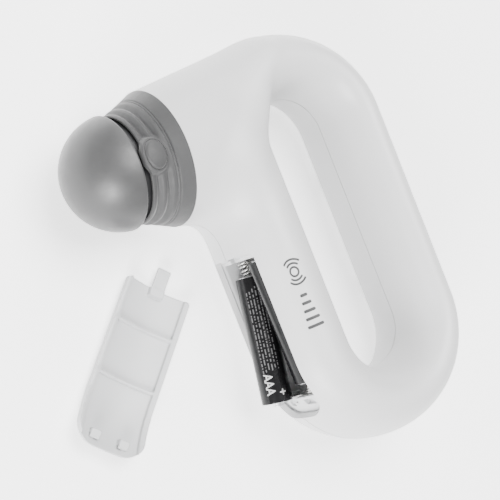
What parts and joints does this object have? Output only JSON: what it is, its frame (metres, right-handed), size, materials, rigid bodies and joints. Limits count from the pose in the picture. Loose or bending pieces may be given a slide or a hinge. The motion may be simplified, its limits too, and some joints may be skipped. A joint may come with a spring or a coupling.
{
  "type": "massage gun",
  "caption": "Hand massager with an open loop handle, a soft grey vibrating ball head on a rubber boot, and an open battery bay with its lid beside it.",
  "frame": {"origin": "centre of the loop handle's finger opening, on the plane where the two casing halves meet", "axes": "+X along the head's axis from the massage ball back through the handle, +Y up the handle limbs towards the head, +Z square to the loop, up from the table it lies on"},
  "size_m": [0.1366, 0.143, 0.0456],
  "materials": {
    "casing_white": "satin moulded ABS, very light grey-white",
    "tray_white": "natural translucent white polypropylene, matt",
    "lid_white": "translucent white moulded plastic, fine matt inside",
    "boot_grey": "soft matt grey silicone rubber",
    "ball_grey": "smooth satin grey rubber-coated dome",
    "dark_plastic": "black moulded plastic",
    "black_rubber": "black foam rubber",
    "steel": "plain bright steel",
    "contact_nickel": "nickel-plated spring steel",
    "board_green": "green solder-masked board",
    "component_black": "black component bodies",
    "lead_red": "red PVC insulation",
    "lead_black": "black PVC insulation",
    "bronze": "sintered bronze",
    "brass": "stamped brass",
    "weight_brass": "turned brass",
    "cap_white": "white motor end bell",
    "magnet_black": "ferrite",
    "copper_wire": "enamelled copper wire",
    "cell_steel": "nickel-plated steel can",
    "cell_black": "printed black shrink label"
  },
  "bodies": {
    "casing": {"near_shell": "casing_white", "far_shell": "casing_white", "casing_screws": "steel", "battery_tray": "tray_white", "negative_plate": "contact_nickel", "positive_plate": "contact_nickel", "bridge_plate": "contact_nickel", "upper_spring": "contact_nickel", "lower_spring": "contact_nickel", "circuit_board": "board_green", "board_parts": "component_black", "tact_switch": "component_black", "power_leads": "lead_red", "motor_leads": "lead_black", "neck_sleeve": "dark_plastic", "isolation_ring": "black_rubber", "rubber_boot": "boot_grey"},
    "head": {"massage_ball": "ball_grey", "motor_pod": "dark_plastic", "pod_cap": "dark_plastic", "ball_screws": "steel", "motor_can": "steel", "front_bush": "bronze", "motor_end_cap": "cap_white", "rear_bush": "bronze", "motor_terminals": "brass", "motor_brushes": "brass", "motor_magnets": "magnet_black"},
    "rotor": {"motor_shaft": "steel", "rotor_core": "steel", "rotor_windings": "copper_wire", "commutator": "bronze", "eccentric_weight": "weight_brass"},
    "power_button": {"power_button": "boot_grey"},
    "left_cell": {"left_cell_can": "cell_steel", "left_cell_jacket": "cell_black", "left_cell_base": "cell_steel"},
    "right_cell": {"right_cell_can": "cell_steel", "right_cell_jacket": "cell_black", "right_cell_base": "cell_steel"},
    "battery_lid": {"battery_lid": "lid_white"}
  },
  "joints": [
    {"name": "head_float", "type": "slide", "parent": "casing", "child": "head", "axis": [1, 0, 0], "range_m": [0, 0.0008], "stiffness_N_per_m": 2500, "springref_m": -0.0004},
    {"name": "rotor_spin", "type": "hinge", "parent": "head", "child": "rotor", "pos_m": [-0.06, 0.0432, 0], "axis": [1, 0, 0], "continuous": true},
    {"name": "button_press", "type": "slide", "parent": "casing", "child": "power_button", "axis": [0, 0.0087, -1], "range_m": [0, 0.0004], "stiffness_N_per_m": 600, "springref_m": -0.0004},
    {"name": "left_cell_lift", "type": "slide", "parent": "casing", "child": "left_cell", "axis": [-0.9816, 0.1908, 0], "range_m": [0, 0.025]},
    {"name": "right_cell_lift", "type": "slide", "parent": "casing", "child": "right_cell", "axis": [-1, 0, 0], "range_m": [0, 0.025]},
    {"name": "lid_lift", "type": "slide", "parent": "casing", "child": "battery_lid", "axis": [0, 0, 1], "range_m": [0, 0.06]}
  ]
}
